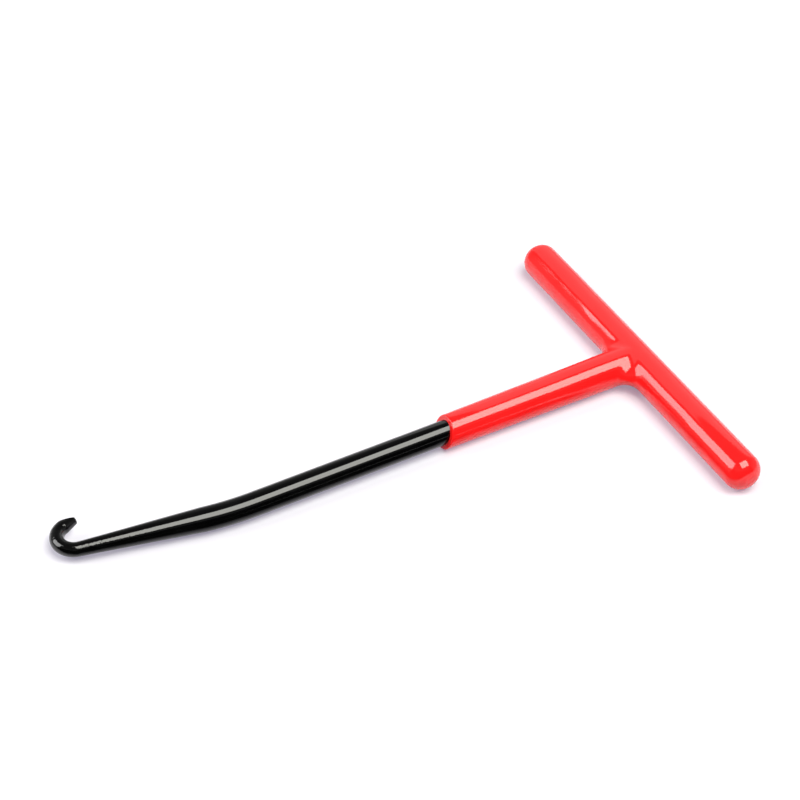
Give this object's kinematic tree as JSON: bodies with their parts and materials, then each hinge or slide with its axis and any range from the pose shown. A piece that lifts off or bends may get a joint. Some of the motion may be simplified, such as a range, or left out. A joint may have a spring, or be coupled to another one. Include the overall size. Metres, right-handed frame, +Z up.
{
  "type": "spring puller",
  "caption": "T-handled spring puller: a tapered black steel shank with a slight bend and a ground hook, welded to a cross bar under a red dipped grip.",
  "frame": {"origin": "centre of the bounding box, on the surface that the puller lies on", "axes": "+X along the shank from the handle to the hook, +Y along the cross bar to the side away from the hook's tip, +Z up from the surface"},
  "size_m": [0.1718, 0.1082, 0.0103],
  "materials": {
    "black_paint": "gloss",
    "bare_steel": "satin",
    "red_coat": "gloss"
  },
  "bodies": {
    "root": {"hook_rod": "black_paint", "cross_bar": "bare_steel", "weld_bead": "bare_steel", "handle_grip": "red_coat"}
  },
  "joints": []
}
